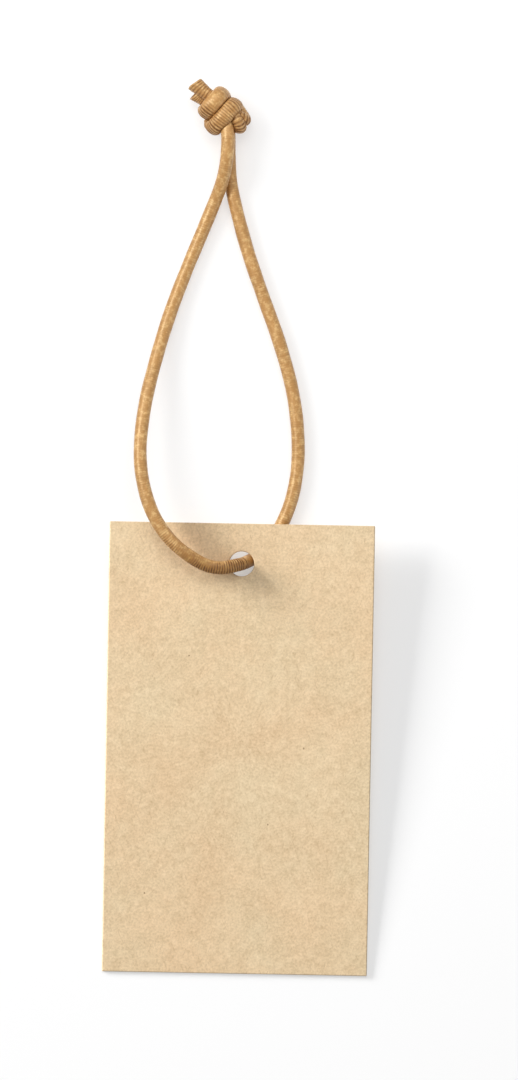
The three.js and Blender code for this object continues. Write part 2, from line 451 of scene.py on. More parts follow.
@dataclass(frozen=True)
class ElasticCover:
    """Satin golden-tan yarn wound round the cord, darker between its ribs and darker still in the gaps where
    they are drawn apart, both as painted shade.

    The piece's own map gives the place: its first number runs once round, its second by one a rib. Its own
    attribute says how far the ribs are drawn apart, which is on the outside of a bend.
    """

    colour: tuple = (0.475, 0.238, 0.074)
    worn: tuple = (0.79, 0.540, 0.245)
    # The colours between the ribs and in the gaps where they are drawn apart are painted shade
    between: tuple = (0.35, 0.160, 0.044)
    gap: tuple = (0.160, 0.056, 0.012)
    # About how many spots of these patterns lie side by side in a metre
    patch_scale: float = 170.0
    rubbed_scale: float = 1150.0
    fleck_scale: float = 1500.0
    # And of these, once round the cord and in a rib
    filament_scale: tuple = (5.0, 7.0, 1.0)
    streak_scale: tuple = (9.0, 0.16, 1.0)
    # How far the filaments, patches, rubbed places and streaks sway the tone
    tone_shares: tuple = (0.45, 0.20, 0.35, 0.30)
    # The ribs part in flecks: how far they part between these, and how much further in them
    parted: float = 0.10
    parted_in_flecks: float = 1.8
    # The winding is closed and smooth where it isn't drawn: how smooth at least, and how much more in patches
    smooth: float = 0.60
    smooth_in_patches: float = 0.36
    patch_rise: tuple = (0.40, 0.62)
    # From a gap's middle to the rib's crest, and how much wider a gap is where the ribs are drawn apart
    crest_rise: tuple = (0.03, 0.55)
    gap_widens: float = 0.28
    worn_rise: tuple = (0.44, 0.70)
    worn_share: float = 0.65
    # Painted shade darkens the stretch that rubs on the card's hole, least on its upper side, where the light
    # falls
    painted_shade_place: tuple = (-2.5 * MM, 34.4 * MM, 6.5 * MM)
    painted_shade_reach: tuple = (7.0 * MM, 12.0 * MM)
    painted_shade_rise: tuple = (0.30, 0.85)
    painted_shade_share: float = 0.46
    painted_shade_hue: tuple = (0.88, 1.08, 1.45)
    roughness: float = 0.36
    filament_roughness: float = 0.25
    gap_roughness: float = 0.4
    # How high the rubbed places stand against the filaments
    rubbed_rise: float = 0.5
    bump_depth: float = 0.03 * MM
    bump_strength: float = 0.5

    def material(self) -> bpy.types.Material:
        """Builds the cover's material.

        Returns:
            The material.
        """
        shader = Shader("elastic_cover")
        own = shader.node("UVMap", {"uv_map": YARN_MAP}).outputs[0]
        coordinates = shader.node("TexCoord").outputs
        place = coordinates["Object"]
        opened = shader.number("Attribute", "Fac", {"attribute_name": OPENING})
        rib = shader.number("SeparateXYZ", 1, {}, {0: own})
        patch = shader.noise(place, self.patch_scale)
        rubbed = shader.noise(place, self.rubbed_scale, detail=3.0, roughness=0.65)
        filament = shader.noise(shader.spread(own, self.filament_scale), 1.0, detail=3.0, roughness=0.6)
        streak = shader.noise(shader.spread(own, self.streak_scale), 1.0)
        fleck = shader.noise(place, self.fleck_scale)
        # How far the ribs are drawn apart, which sets the painted shade in their gaps
        drawn = shader.maths("MINIMUM", opened * (self.parted + fleck * self.parted_in_flecks), 1.0)
        crest = self._crest(shader, rib, patch, drawn)
        # Painted shade between the ribs, darker in the gaps where they are drawn apart
        colour = shader.mix(crest, shader.mix(drawn, self.between, self.gap), self.colour)
        worn = shader.between(rubbed, *self.worn_rise) * crest * self.worn_share
        colour = shader.mix(worn, colour, self.worn)
        tone = shader.varied(1.0, zip((filament, patch, rubbed, streak), self.tone_shares))
        colour = shader.brightened(colour, tone)
        # Painted shade on the stretch at the hole, deepest in blue
        painted_shade = self._painted_shade(shader, place, coordinates["Normal"])
        colour = shader.brightened(colour, 1 - painted_shade * self.painted_shade_share, self.painted_shade_hue)
        roughness = self.roughness + (filament - 0.5) * self.filament_roughness
        height = filament + rubbed * self.rubbed_rise
        return shader.surface({
            "Base Color": colour,
            "Roughness": roughness + (1 - crest) * drawn * self.gap_roughness,
            "Specular IOR Level": 0.9,
            "Specular Tint": (1.0, 0.84, 0.56, 1.0),
            "Sheen Weight": 0.08,
            "Sheen Roughness": 0.4,
            "Sheen Tint": (1.0, 0.86, 0.62, 1.0),
            "Normal": shader.bump(height, self.bump_depth, self.bump_strength),
        })

    def _crest(self, shader: Shader, rib: Number, patch: Number, drawn: Number) -> Number:
        """Tells the ribs from the gaps between them.

        Args:
            shader: The cover's shader.
            rib: The place along the cord, by one a rib.
            patch: The noise of the smooth patches.
            drawn: How far the ribs are drawn apart.

        Returns:
            1 on a rib's crest or where the winding is smooth, and 0 in a gap.
        """
        middle = 1 - shader.maths("ABSOLUTE", shader.maths("FRACT", rib) - 0.5) * 2
        more = shader.between(patch, *self.patch_rise) * self.smooth_in_patches
        smoothed = (self.smooth + more) * (1 - drawn) ** 2
        crest = shader.between(middle - drawn * self.gap_widens, *self.crest_rise)
        return shader.maths("MAXIMUM", crest, smoothed)

    def _painted_shade(
        self, shader: Shader, place: bpy.types.NodeSocket, normal: bpy.types.NodeSocket
    ) -> Number:
        """Gives how far painted shade darkens the cover where it rubs on the hole, least on its upper side.

        Args:
            shader: The cover's shader.
            place: The place on the tag.
            normal: The direction that the surface faces.

        Returns:
            A share from 0 to 1.
        """
        ends = {0: place, 1: self.painted_shade_place}
        away = shader.number("VectorMath", "Value", {"operation": "DISTANCE"}, ends)
        near = 1 - shader.between(away, *self.painted_shade_reach)
        facing = shader.number("SeparateXYZ", 1, {}, {0: normal})
        return near * (1 - shader.between(facing, *self.painted_shade_rise))


@dataclass(frozen=True)
class RubberCore:
    """Matt natural rubber at the cut ends, slightly mottled."""

    colour: tuple = (0.55, 0.41, 0.25)
    mottle_scale: float = 2600.0
    mottle_dark: float = 0.8
    mottle_share: float = 0.4
    roughness: float = 0.7
    bump_depth: float = 0.02 * MM
    bump_strength: float = 0.4

    def material(self) -> bpy.types.Material:
        """Builds the rubber's material.

        Returns:
            The material.
        """
        shader = Shader("rubber_core")
        place = shader.node("TexCoord").outputs["Object"]
        mottle = shader.noise(place, self.mottle_scale, detail=3.0)
        return shader.surface({
            "Base Color": shader.brightened(self.colour, self.mottle_dark + mottle * self.mottle_share),
            "Roughness": self.roughness,
            "Normal": shader.bump(mottle, self.bump_depth, self.bump_strength),
        })


@dataclass(frozen=True)
class PaleTable:
    """The plain table. Seen straight on or in gloss it is white, and it keeps the shadows on it."""

    colour: tuple = (0.63, 0.63, 0.63)
    seen_colour: tuple = (0.58, 0.58, 0.58)
    glow: float = 0.300

    def material(self) -> bpy.types.Material:
        """Builds the table's material.

        Returns:
            The material.
        """
        shader = Shader("pale_table")
        plain = shader.node("BsdfDiffuse", {}, {"Color": self.colour}).outputs[0]
        lit = shader.node("BsdfDiffuse", {}, {"Color": self.seen_colour}).outputs[0]
        glow = shader.node("Emission", {}, {"Color": (1.0, 1.0, 1.0), "Strength": self.glow}).outputs[0]
        white = shader.node("AddShader", {}, {0: lit, 1: glow}).outputs[0]
        mixed = shader.node("MixShader", {}, {0: shader.looked_at(), 1: plain, 2: white}).outputs[0]
        shader.node("OutputMaterial", {}, {"Surface": mixed})
        return shader.owner


def deselect_all() -> None:
    """Leaves edit mode and selects nothing."""
    if bpy.context.object and bpy.context.object.mode != "OBJECT":
        bpy.ops.object.mode_set(mode="OBJECT")
    bpy.ops.object.select_all(action="DESELECT")


def select_only(piece: bpy.types.Object) -> None:
    """Selects one object and makes it the active one.

    Args:
        piece: The object.
    """
    deselect_all()
    piece.select_set(True)
    bpy.context.view_layer.objects.active = piece


def apply_place(piece: bpy.types.Object) -> None:
    """Moves an object's place, turn and size into its mesh."""
    select_only(piece)
    bpy.ops.object.transform_apply(location=True, rotation=True, scale=True)


def report(piece: bpy.types.Object) -> None:
    """Says what a piece is made of."""
    LOG.info("%s: %d vertices, %d faces", piece.name, len(piece.data.vertices), len(piece.data.polygons))


def dress(piece: bpy.types.Object, material: bpy.types.Material, body: Body) -> None:
    """Gives a finished piece its material and its body, and reports it.

    Args:
        piece: The piece.
        material: Its material.
        body: The body that the piece moves with.
    """
    piece.data.materials.append(material)
    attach(piece, body.value)
    report(piece)


@dataclass
class Card:
    """The kraft card with its punched hole, leaning on the strand that runs under its top edge."""

    width: float = 50 * MM
    length: float = 85 * MM
    thickness: float = 0.5 * MM
    hole_diameter: float = 4.7 * MM
    hole_to_top: float = 7.6 * MM
    hole_sides: int = 96
    punch_length: float = 3 * MM
    rim_round: float = 0.24 * MM
    rim_steps: int = 6
    rim_back_round: float = 0.06 * MM
    rim_back_steps: int = 2
    edge_round: float = 0.18 * MM
    edge_steps: int = 3
    finish: KraftBoard = field(default_factory=KraftBoard)

    # How near an edge lies to the hole's rim, how near to a face, and from which angle on it is sharp
    RIM_REACH = 0.1 * MM
    FACE_REACH = 0.01 * MM
    SHARP_ANGLE = 1.0

    def build(self) -> bpy.types.Object:
        """Models the card and puts it on the frame's hinge.

        Returns:
            The card.
        """
        board = self._punched_board()
        self._round_rims(board)
        self._lean(board)
        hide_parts("tag_card")
        dress(board, self.finish.material(), Body.CARD)
        return board

    def _punched_board(self) -> bpy.types.Object:
        """Cuts the board and punches its hole.

        Returns:
            The board, with the hole's middle at the origin.
        """
        deselect_all()
        below = self.length / 2 - self.hole_to_top
        bpy.ops.mesh.primitive_cube_add(size=1.0, location=(0.0, -below, 0.0))
        board = bpy.context.object
        board.name = "card"
        board.data.name = "card"
        board.scale = (self.width, self.length, self.thickness)
        apply_place(board)
        deselect_all()
        bpy.ops.mesh.primitive_cylinder_add(
            vertices=self.hole_sides, radius=self.hole_diameter / 2, depth=self.punch_length
        )
        punch = bpy.context.object
        select_only(board)
        cut = board.modifiers.new("hole", "BOOLEAN")
        cut.operation = "DIFFERENCE"
        cut.object = punch
        bpy.ops.object.modifier_apply(modifier=cut.name)
        bpy.data.objects.remove(punch)
        return board

    def _round_rims(self, board: bpy.types.Object) -> None:
        """Rounds the rim that the punch pressed in, its back, and the cut edges.

        Args:
            board: The punched board.
        """
        top = self.thickness / 2
        reach = self.hole_diameter / 2 + self.RIM_REACH

        def on_rim(edge: bmesh.types.BMEdge, height: float) -> bool:
            """Picks the hole's rim on one face.

            Args:
                edge: An edge of the board.
                height: The face's height.

            Returns:
                Whether the edge belongs to the rim there.
            """
            level = all(abs(v.co.z - height) < self.FACE_REACH for v in edge.verts)
            near = all(v.co.xy.length < reach for v in edge.verts)
            return level and near and edge.calc_face_angle(0.0) > self.SHARP_ANGLE

        def on_outline(edge: bmesh.types.BMEdge) -> bool:
            """Says whether an edge belongs to the card's outline."""
            far = all(v.co.xy.length > reach for v in edge.verts)
            return far and edge.calc_face_angle(0.0) > self.SHARP_ANGLE

        self._bevel(board, lambda edge: on_rim(edge, top), self.rim_round, self.rim_steps)
        self._bevel(board, lambda edge: on_rim(edge, -top), self.rim_back_round, self.rim_back_steps)
        self._bevel(board, on_outline, self.edge_round, self.edge_steps)
        select_only(board)
        bpy.ops.object.shade_smooth()
        level = board.modifiers.new("level", "WEIGHTED_NORMAL")
        level.mode = "FACE_AREA"
        level.weight = 100
        bpy.ops.object.modifier_apply(modifier=level.name)

    def _bevel(
        self, board: bpy.types.Object, wanted: Callable[[bmesh.types.BMEdge], bool], width: float, steps: int
    ) -> None:
        """Bevels the edges that a test picks.

        Args:
            board: The board.
            wanted: Takes an edge and says whether it is bevelled.
            width: The bevel's width.
            steps: Its number of steps.
        """
        select_only(board)
        bpy.ops.object.mode_set(mode="EDIT")
        bpy.ops.mesh.select_mode(type="EDGE")
        bpy.ops.mesh.select_all(action="DESELECT")
        mesh = bmesh.from_edit_mesh(board.data)
        for edge in mesh.edges:
            edge.select = wanted(edge)
        bmesh.update_edit_mesh(board.data)
        bpy.ops.mesh.bevel(offset=width, segments=steps, profile=0.5, affect="EDGES")
        bpy.ops.object.mode_set(mode="OBJECT")

    def _lean(self, board: bpy.types.Object) -> None:
        """Turns the board to the hinge's axis and moves its hole to the hinge.

        Args:
            board: The board.
        """
        hinge = frame["joints"][0]
        axis = Vector(hinge["axis"])
        board.rotation_euler = (math.atan2(-axis.y, axis.z), 0.0, 0.0)
        board.location = Vector(hinge["pos_m"])
        apply_place(board)


def smooth_step(value: np.ndarray, low: float, high: float) -> np.ndarray:
    """Gives 0 below low, 1 above high and a smooth step between."""
    share = np.clip((value - low) / (high - low), 0.0, 1.0)
    return share * share * (3 - 2 * share)


def waves(place: np.ndarray, parts: tuple) -> np.ndarray:
    """Adds up sine waves, each given by its height, how fast it turns and its start."""
    return sum(height * np.sin(rate * place + start) for height, rate, start in parts)


def lengths(vectors: np.ndarray) -> np.ndarray:
    """Gives the lengths of the vectors in an array's rows."""
    return np.linalg.norm(vectors, axis=1)


def made_unit(vectors: np.ndarray) -> np.ndarray:
    """Gives the directions of vectors, one a row, of which some may have no length."""
    return vectors / np.maximum(lengths(vectors), 1e-9)[:, None]


def dots(points: np.ndarray, directions: np.ndarray) -> np.ndarray:
    """Gives how far each ring's points lie along the ring's own direction."""
    return np.einsum("nsk,nk->ns", points, directions)


def carried_normals(headings: np.ndarray) -> np.ndarray:
    """Carries one direction square to a line along it, without twist.

    Args:
        headings: The line's directions, one a row.

    Returns:
        The directions square to it.
    """
    normals = np.zeros_like(headings)
    normal = np.cross(headings[0], (0.0, 0.0, 1.0))
    for i, heading in enumerate(headings):
        normal = normal - heading * float(normal @ heading)
        normal = normal / math.sqrt(float(normal @ normal))
        normals[i] = normal
    return normals


class Route:
    """A smooth line through chosen points, a centripetal Catmull-Rom curve."""

    STEPS_PER_SPAN = 60
    HEADING_REACH = 0.05 * MM

    def __init__(self, points: np.ndarray) -> None:
        """Samples the curve closely.

        Args:
            points: The points, one a row.
        """
        ends = np.vstack([2 * points[0] - points[1], points, 2 * points[-1] - points[-2]])
        share = np.linspace(0.0, 1.0, self.STEPS_PER_SPAN, endpoint=False)[:, None]
        spans = [self._span(ends[i:i + 4], share) for i in range(len(points) - 1)]
        self.line = np.vstack([*spans, points[-1:]])
        self.along = np.concatenate([[0.0], np.cumsum(lengths(np.diff(self.line, axis=0)))])
        self.at_point = self.along[:: self.STEPS_PER_SPAN]

    @staticmethod
    def _span(four: np.ndarray, share: np.ndarray) -> np.ndarray:
        """Gives the curve between the middle two of four points.

        Args:
            four: The points, one a row.
            share: How far along the span each sample lies, from 0 to 1.

        Returns:
            The samples, one a row.
        """
        before, start, end, after = four
        gaps = lengths(np.diff(four, axis=0)) ** 0.5
        leave = (start - before) / gaps[0] - (end - before) / (gaps[0] + gaps[1]) + (end - start) / gaps[1]
        arrive = (end - start) / gaps[1] - (after - start) / (gaps[1] + gaps[2]) + (after - end) / gaps[2]
        leave, arrive = leave * gaps[1], arrive * gaps[1]
        cubic = 2 * start - 2 * end + leave + arrive
        square = -3 * start + 3 * end - 2 * leave - arrive
        return start + share * (leave + share * (square + share * cubic))

    @property
    def length(self) -> float:
        """The curve's length."""
        return float(self.along[-1])

    def at(self, distance: np.ndarray) -> np.ndarray:
        """Gives the points at some distances along the curve."""
        return np.column_stack([np.interp(distance, self.along, self.line[:, k]) for k in range(3)])

    def headings(self, distance: np.ndarray) -> np.ndarray:
        """Gives the curve's directions at some distances along it."""
        ahead = self.at(distance + self.HEADING_REACH) - self.at(distance - self.HEADING_REACH)
        return ahead / lengths(ahead)[:, None]


# The loop's route, as in the part's source: across and up from the hole's centre, and the height of
# the cord's middle above the height at which it lies on the surface, all in millimetres.
LOOP_ROUTE = [
    # from the knot down the front strand
    (-4.1, 80.3, 3.75),
    (-4.1, 78.6, 3.65),
    (-4.25, 76.2, 3.35),
    (-4.6, 73.8, 2.8),
    (-5.15, 71.5, 2.0),
    (-6.1, 68.8, 0.8),
    (-8.6, 62.4, 0.05),
    (-11.4, 55.3, 0.05),
    (-14.4, 46.9, 0.4),
    (-17.0, 37.7, 1.6),
    (-18.8, 29.3, 3.5),
    (-19.5, 20.8, 4.95),
    (-18.8, 14.8, 5.4),
    (-16.9, 9.2, 5.6),
    (-13.7, 4.5, 5.6),
    (-10.0, 1.4, 5.4),
    (-6.6, -0.4, 5.0),
    (-4.2, -0.8, 4.7),
    (-2.5, -0.62, 4.2),
    (-1.15, -0.3, 3.4),
    # through the hole
    (0.0, 0.0, 2.25),
    (1.05, 0.43, 1.13),
    (2.25, 1.1, 0.38),
    (3.6, 2.1, 0.05),
    # up the back strand, under the card and on to the knot
    (5.4, 4.1, 0.0),
    (7.6, 8.0, 0.0),
    (9.3, 12.8, 0.0),
    (10.2, 19.0, 0.0),
    (10.0, 26.0, 0.0),
    (8.8, 33.4, 0.0),
    (6.2, 42.2, 0.0),
    (3.2, 50.2, 0.0),
    (0.3, 58.2, 0.0),
    (-1.75, 65.0, 0.0),
    (-3.3, 71.4, 0.0),
    (-3.75, 75.6, 0.15),
    (-3.85, 78.4, 0.6),
    (-3.9, 80.3, 0.95),
]

# The knot's strands from the loop to the cut ends, along the knot's axis, across it and out, in
# millimetres from the knot's middle. The first points run on from the loop's ends.
FRONT_STRAND = [
    (-1.6, -1.2, 0.8), (0.5, -0.3, 0.1), (2.6, 0.0, -0.4), (3.2, -0.4, -1.4), (2.8, -1.6, -1.6),
    (2.4, -2.45, 0.0), (2.38, -1.7, 1.5), (2.38, 0.0, 2.1), (2.38, 1.6, 1.6), (2.3, 2.35, 0.0),
    (1.4, 1.7, -1.6), (-0.4, 0.1, -2.1), (-2.0, -0.5, -2.15), (-3.45, -0.5, -1.8), (-4.25, -0.25, -0.7),
    (-4.1, 0.0, 0.45), (-3.1, 0.35, 1.05), (-1.8, 0.7, 0.6), (1.0, 0.8, 0.1), (3.0, 0.5, 0.4),
    (4.6, 0.4, 0.5), (7.6, 0.3, 0.6),
]
BACK_STRAND = [
    (-1.6, -0.7, -0.7), (0.6, 0.4, -0.8), (1.9, 0.2, -1.8), (1.0, -1.8, -1.9), (-0.45, -3.7, -0.3),
    (-0.72, -2.9, 1.4), (-0.72, -0.6, 2.15), (-0.72, 1.6, 1.7), (-0.8, 2.4, 0.1), (-1.45, 2.2, -1.3),
    (-2.6, 1.9, -1.9), (-3.7, 1.6, -1.45), (-4.0, 1.35, -0.5), (-3.4, 1.2, 0.2), (-2.2, 0.9, 0.15),
    (0.2, -0.2, -0.7), (1.5, -0.4, -0.8), (3.4, -0.6, -0.9), (4.6, -0.7, -1.0), (6.3, -0.9, -1.0),
]
# The loop's point in the hole, counted from its first point
HOLE_POINT = 20
# The points between which each strand wraps round the knot, counted from its first point
FRONT_WRAP = (4, 11)
BACK_WRAP = (3, 9)


@dataclass(frozen=True)
class CordSizes:
    """Sizes of the elastic cord."""

    diameter: float = 2.5 * MM
    surface_gap: float = 0.05 * MM
    sides: int = 32
    # The cord's section where it wraps round the knot, and the length in which it flattens
    wrap_width: float = 3.3 * MM
    wrap_thickness: float = 2.3 * MM
    wrap_ramp: float = 1.6 * MM
    rib_pitch: float = 0.44 * MM
    tail_rib_pitch: float = 0.54 * MM
    # How far from a cut end the pitch changes
    tail_reach: tuple = (3.5 * MM, 7.0 * MM)
    rib_depth: float = 0.015 * MM
    open_rib_depth: float = 0.085 * MM
    rib_tilt: float = 0.05 * MM
    rib_wander: float = 0.11 * MM
    rib_uneven: float = 0.02 * MM
    flare: float = 0.22
    flare_length: float = 3.2 * MM

    @property
    def radius(self) -> float:
        """Half the diameter."""
        return self.diameter / 2


@dataclass(frozen=True)
class CoreSizes:
    """Sizes of the rubber strands in a cut end: one in the middle and the others in a ring round it."""

    ring_strands: int = 6
    radius: float = 0.29 * MM
    ring_radius: float = 0.61 * MM
    length: float = 1.5 * MM
    sides: int = 16
    # How deep the strands end in the cover, how unevenly, and how that changes from strand to strand
    recess: float = 0.14 * MM
    uneven: float = 0.07 * MM
    uneven_turn: float = 2.4
    rim_round: float = 0.087 * MM
    rim_steps: int = 2
    smooth_angle: float = math.radians(40)


@dataclass(frozen=True)
class Openings:
    """Where the ribs are drawn apart, and how far, as a share from 0 to 1.

    A bend is given by how much longer than the cord's middle its outside is, as a share. A pair is where a
    smooth step from 0 to 1 starts and ends.
    """

    # The bends in the knot. Its wraps lie within these lengths of its middle, along its axis and across it
    knot_bend: tuple = (0.10, 0.55)
    knot_half_length: float = 3.4 * MM
    knot_half_width: float = 5 * MM
    # The share of a bend's opening that the lower and the upper wrap show, and what their low sides add to it
    lower_held: float = 0.60
    lower_freed: float = 0.40
    upper_held: float = 0.12
    upper_freed: float = 0.75
    low_side: tuple = (-0.4 * MM, 2.2 * MM)
    upper_wrap: tuple = (0.4 * MM, 1.4 * MM)
    # The lower wrap is stretched all along its outside
    stretched: float = 0.55
    stretch_ramp: float = 2 * MM
    stretch_facing: tuple = (-0.1, 0.5)
    # The share of a bend's opening that the strands and tails beside the wraps show
    beside: float = 0.9
    # The bend near the hole, averaged over some rings, and its outside
    hole: float = 0.85
    hole_reach: tuple = (14 * MM, 24 * MM)
    hole_bend: tuple = (0.045, 0.085)
    hole_rings: int = 45
    hole_side: tuple = (-0.04, 0.06)
    # At the cut ends
    frayed: float = 0.55
    frayed_reach: tuple = (3.2 * MM, 6.0 * MM)


@dataclass(frozen=True)
class Pressing:
    """How strands that meet in the knot press each other in."""

    # How far into the loop strands are pressed
    loop_reach: float = 3 * MM
    # Rings press each other where they lie further apart along the cord than the first of these, and
    # nearer in space than the second. Every third ring stands for its neighbours.
    least_run: float = 3.4 * MM
    most_gap: float = 4.2 * MM
    ring_step: int = 3
    # A point is drawn in step by step, each time by this share, until it has the room that it needs
    tries: int = 10
    shrink: float = 0.93
    least: float = 0.25
    room: float = 1.02


@dataclass
class Cord:
    """The whole elastic cord: its loop, the knot's two strands and the rubber in the cut ends."""

    sizes: CordSizes = field(default_factory=CordSizes)
    core: CoreSizes = field(default_factory=CoreSizes)
    openings: Openings = field(default_factory=Openings)
    pressing: Pressing = field(default_factory=Pressing)
    knot_middle: tuple = (-5.0, 85.2, 2.15)
    knot_axis_degrees: float = 140.0
    cover: ElasticCover = field(default_factory=ElasticCover)
    rubber: RubberCore = field(default_factory=RubberCore)

    # The rings of one rib, as shares of its pitch, and how deep in the groove each lies
    RING_SHARES = (0.0, 0.14, 0.38, 0.62, 0.86)
    RING_DEPTHS = (1.0, 0.38, 0.0, 0.0, 0.38)
    # The two rings on a rib's crest, through which the cord is cut and joined
    CREST_RINGS = (2, 3)
    # How far each step of a cut end's rim lies out from the cord's middle, and past the cut
    RIM_STEPS = ((0.975, 0.07), (0.90, 0.13), (0.82, 0.11), (0.77, -0.06), (0.75, -0.45))
    # The places of the rim's first and last step in a rib, running towards the groove, so that the rim takes
    # the painted shade between the ribs
    RIM_PLACES = (0.30, 0.08)
    # How the cuts slope: how far the end draws back for each step across the knot and for each step out
    FRONT_SLANT = (0.22, -0.12)
    BACK_SLANT = (0.15, 0.10)
    # Waves, each by its height, how fast it turns and its start: first the cord's radius along its length,
    # then the ribs' tilt up and sideways from rib to rib
    WOBBLE = ((0.012, 1 / (2.9 * MM), 0.0), (0.010, 1 / (1.13 * MM), 1.0))
    TILT_UP = ((0.7, 0.21, 0.0), (0.3, 0.63, 2.0))
    TILT_SIDE = ((0.7, 0.17, 1.0), (0.3, 0.71, 0.0))
    # The ribs' wander: its height, how often it goes up and down once round, its turn a rib and its start
    WANDER = ((0.6, 2, 0.5, 0.0), (0.4, 3, -0.5, 1.0))
    # A rib's uneven height: how often it goes up and down once round, and its turn a rib
    UNEVEN_TIMES = 2
    UNEVEN_TURN = 2.3
    # The ribs are counted at this many places
    COUNT_SAMPLES = 4000
    # The cord's direction is last taken this far from its ends
    # A step of four rings, which nothing here uses
    END_MARGIN = 0.1 * MM
    # The declared route takes every fourth ring
    PATH_STEP = 4

    def __post_init__(self) -> None:
        """Works out the cord's whole route, from the front tail round to the back tail."""
        turn = math.radians(self.knot_axis_degrees)
        self.knot_axis = np.array([math.cos(turn), math.sin(turn), 0.0])
        self.knot_side = np.array([math.sin(turn), -math.cos(turn), 0.0])
        loop = np.array([self._loop_point(p) for p in LOOP_ROUTE])
        front = np.array([self._knot_point(p) for p in FRONT_STRAND])
        back = np.array([self._knot_point(p) for p in BACK_STRAND])
        self.route = Route(np.vstack([front[::-1], loop, back]))
        stops = self.route.at_point
        count = len(FRONT_STRAND)
        self.loop_start = stops[count]
        self.loop_end = stops[count + len(LOOP_ROUTE) - 1]
        self.hole_at = stops[count + HOLE_POINT]
        self.front_wrap = (stops[count - 1 - FRONT_WRAP[1]], stops[count - 1 - FRONT_WRAP[0]])
        first_back = count + len(LOOP_ROUTE)
        self.back_wrap = (stops[first_back + BACK_WRAP[0]], stops[first_back + BACK_WRAP[1]])

    def _loop_point(self, point: tuple) -> np.ndarray:
        """Places one of the loop's points.

        Args:
            point: Across and up from the hole's centre and above the resting height, in millimetres.

        Returns:
            The place in metres.
        """
        hole = frame["joints"][0]["pos_m"]
        rest = self.sizes.radius + self.sizes.surface_gap
        across, up, above = point
        return np.array([across * MM, hole[1] + up * MM, rest + above * MM])

    def _knot_point(self, point: tuple) -> np.ndarray:
        """Places one of the knot's points.

        Args:
            point: Along the knot's axis, across it and out from the knot's middle, in millimetres.

        Returns:
            The place in metres.
        """
        along, across, out = point
        middle = self._loop_point(self.knot_middle)
        upwards = np.array([0.0, 0.0, 1.0])
        return middle + (along * self.knot_axis + across * self.knot_side + out * upwards) * MM

    def _rib_count(self) -> tuple[np.ndarray, np.ndarray]:
        """Counts the ribs along the cord.

        Returns:
            Places along the cord, and how many ribs lie before each.
        """
        places = np.linspace(0.0, self.route.length, self.COUNT_SAMPLES)
        tail = 1 - smooth_step(places, *self.sizes.tail_reach)
        pitch = self.sizes.rib_pitch + (self.sizes.tail_rib_pitch - self.sizes.rib_pitch) * tail
        counts = np.concatenate([[0.0], np.cumsum(np.diff(places) / pitch[1:])])
        return places, counts

    def _rings(self) -> None:
        """Shares rings out along the cord, five to a rib, and turns their frames along it."""
        places, counts = self._rib_count()
        ribs = np.arange(0, int(counts[-1]))
        self.ring_phase = (ribs[:, None] + np.array(self.RING_SHARES)[None, :]).ravel()
        self.ring_depth = np.tile(np.array(self.RING_DEPTHS), len(ribs))
        self.ring_rib = np.repeat(ribs, len(self.RING_SHARES))
        self.ring_at = np.interp(self.ring_phase, counts, places)
        self.centres = self.route.at(self.ring_at)
        inner_length = self.route.length - self.END_MARGIN
        self.headings = self.route.headings(np.clip(self.ring_at, self.END_MARGIN, inner_length))
        self.ups = carried_normals(self.headings)
        self.sideways = np.cross(self.headings, self.ups)

    def _opening(self, round_ring: np.ndarray) -> np.ndarray:
        """Works out how far the ribs are drawn apart: in the knot, near the hole and at the cut ends.

        Args:
            round_ring: The directions from the rings' middles to their points.

        Returns:
            A share from 0 to 1 for each point of each ring.
        """
        drawn = self.openings
        bend = np.gradient(self.headings, self.ring_at, axis=0)
        outward = -dots(round_ring, bend) * self.sizes.radius
        in_loop = ((self.ring_at > self.loop_start) & (self.ring_at < self.loop_end))[:, None]
        opened = np.where(in_loop, self._hole_opening(bend, outward), self._knot_opening(round_ring, outward))
        from_cut = np.minimum(self.ring_at, self.route.length - self.ring_at)
        frayed = drawn.frayed * (1 - smooth_step(from_cut, *drawn.frayed_reach))
        return np.maximum(opened, frayed[:, None])

    def _hole_opening(self, bend: np.ndarray, outward: np.ndarray) -> np.ndarray:
        """Works out how far the ribs are drawn apart where the cord turns into the hole.

        Args:
            bend: How the cord's direction changes, at each ring.
            outward: How much longer than the cord's middle it is at each point of each ring.

        Returns:
            A share from 0 to 1 for each point of each ring.
        """
        drawn = self.openings
        average = np.full(drawn.hole_rings, 1 / drawn.hole_rings)
        turning = np.convolve(lengths(bend) * self.sizes.radius, average, mode="same")
        tight = smooth_step(turning, *drawn.hole_bend)[:, None]
        near = 1 - smooth_step(np.abs(self.ring_at - self.hole_at), *drawn.hole_reach)
        return drawn.hole * near[:, None] * tight * smooth_step(outward, *drawn.hole_side)

